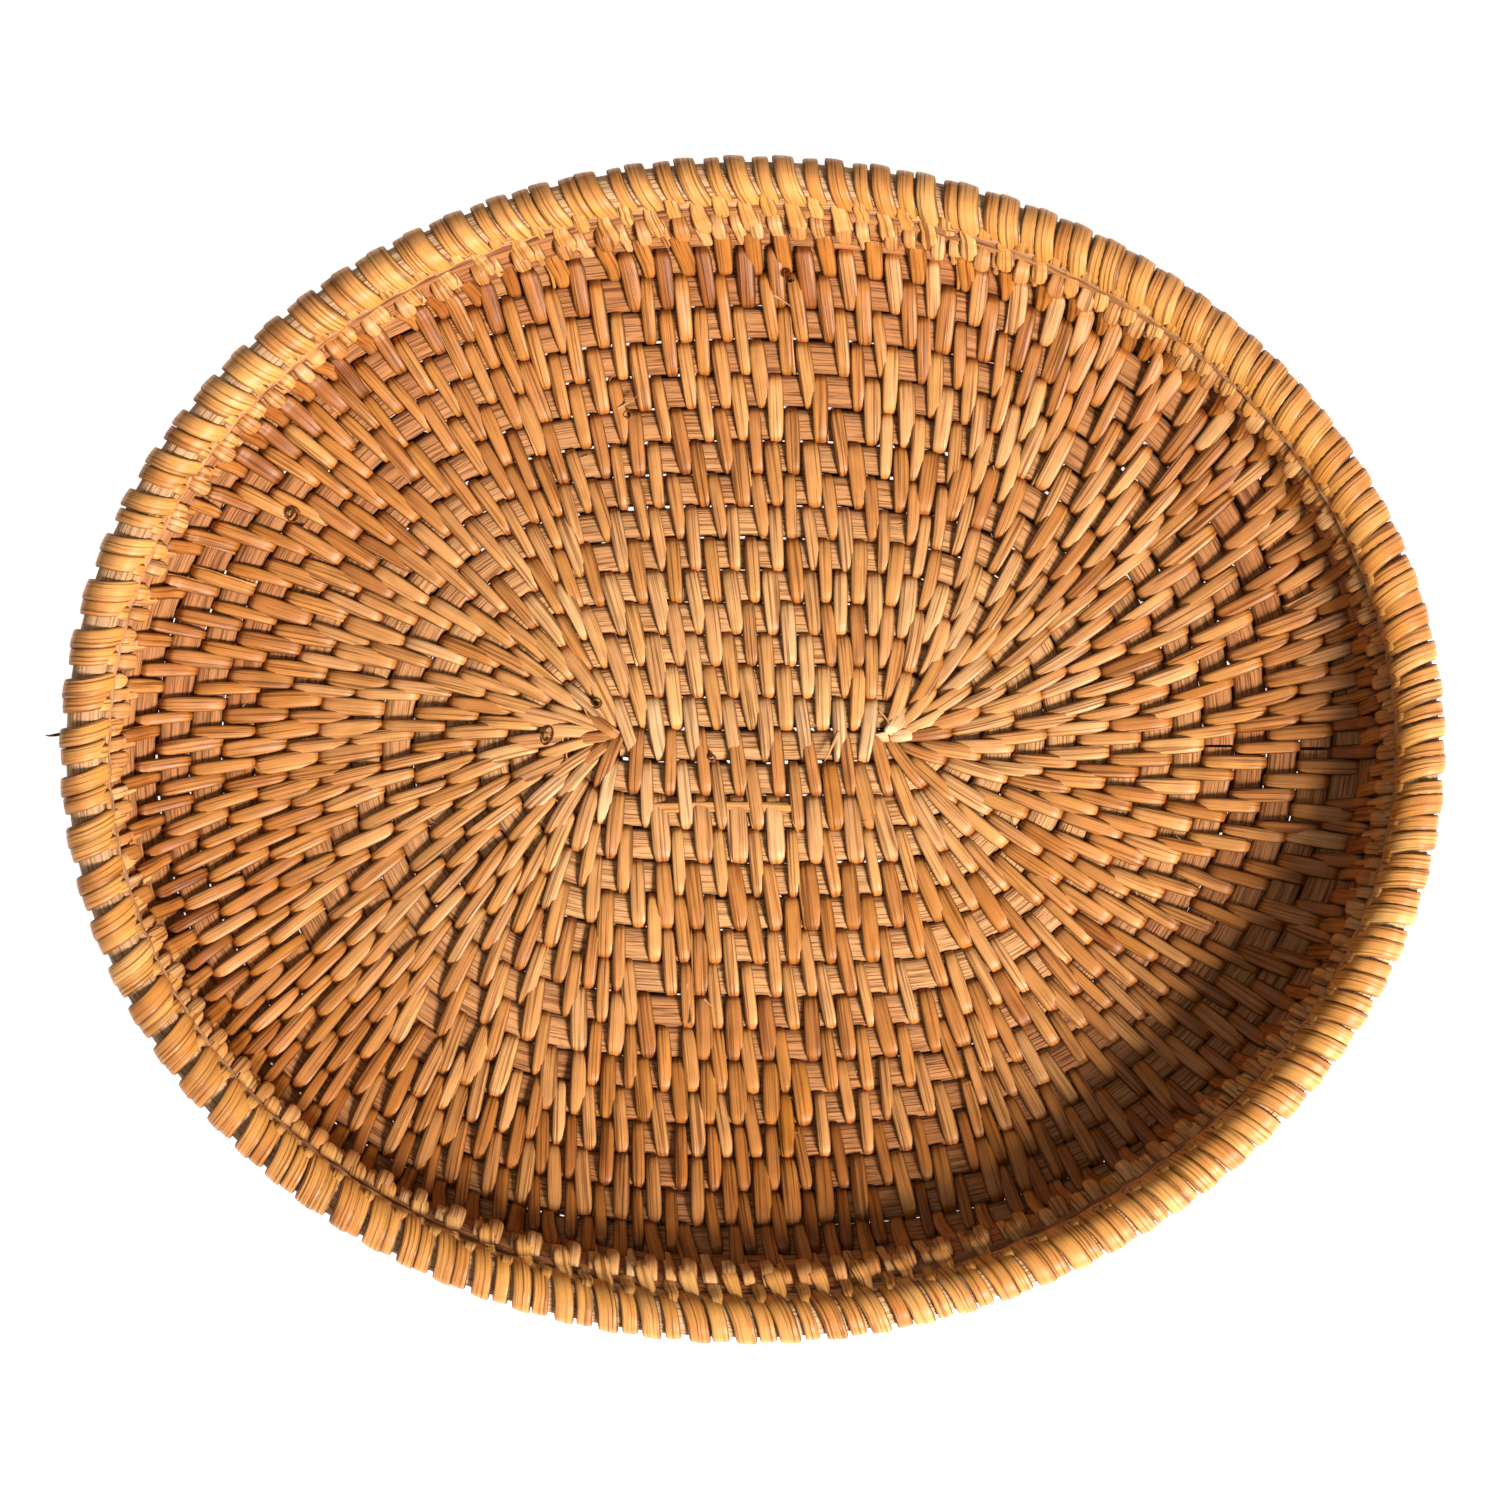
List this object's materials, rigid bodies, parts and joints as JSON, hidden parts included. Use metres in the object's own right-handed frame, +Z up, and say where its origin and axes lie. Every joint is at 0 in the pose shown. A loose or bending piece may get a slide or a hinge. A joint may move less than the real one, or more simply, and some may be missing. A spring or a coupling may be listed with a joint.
{
  "type": "winnowing basket",
  "caption": "Shallow oval tray of coiled rattan: a flat spiral floor sewn with split-cane strips, a low wall and a thick wrapped rim.",
  "frame": {"origin": "middle of the underside, on the surface that the basket stands on", "axes": "+X along the long way of the oval, +Y across it, +Z up out of the open side"},
  "size_m": [0.3299, 0.2831, 0.0393],
  "materials": {
    "core_cane": "dry, fibrous split rattan, matt",
    "binder_cane": "honey-coloured shaved rattan strip, satin",
    "rim_cane": "pale fibrous split rattan, matt",
    "rim_binder_cane": "golden shaved rattan strip, satin with a soft gloss"
  },
  "bodies": {
    "root": {"core_cane_1": "core_cane", "core_cane_2": "core_cane", "core_cane_3": "core_cane", "core_cane_4": "core_cane", "core_cane_5": "core_cane", "binder_strip_01": "binder_cane", "binder_strip_02": "binder_cane", "binder_strip_03": "binder_cane", "binder_strip_04": "binder_cane", "binder_strip_05": "binder_cane", "binder_strip_06": "binder_cane", "binder_strip_07": "binder_cane", "binder_strip_08": "binder_cane", "binder_strip_09": "binder_cane", "binder_strip_10": "binder_cane", "binder_strip_11": "binder_cane", "binder_strip_12": "binder_cane", "binder_strip_13": "binder_cane", "binder_strip_14": "binder_cane", "binder_strip_15": "binder_cane", "binder_strip_16": "binder_cane", "binder_strip_17": "binder_cane", "binder_strip_18": "binder_cane", "binder_strip_19": "binder_cane", "binder_strip_20": "binder_cane", "binder_strip_21": "binder_cane", "binder_strip_22": "binder_cane", "binder_strip_23": "binder_cane", "binder_strip_24": "binder_cane", "inlay_strip": "binder_cane", "lip_core": "core_cane", "lip_binder_1": "binder_cane", "lip_binder_2": "binder_cane", "lip_binder_3": "binder_cane", "lip_binder_4": "binder_cane", "rim_core": "rim_cane", "rim_binder_1": "rim_binder_cane", "rim_binder_2": "rim_binder_cane", "rim_binder_3": "rim_binder_cane", "rim_binder_4": "rim_binder_cane", "rim_binder_5": "rim_binder_cane", "rim_binder_6": "rim_binder_cane", "rim_filler_strip": "rim_cane"}
  },
  "joints": []
}
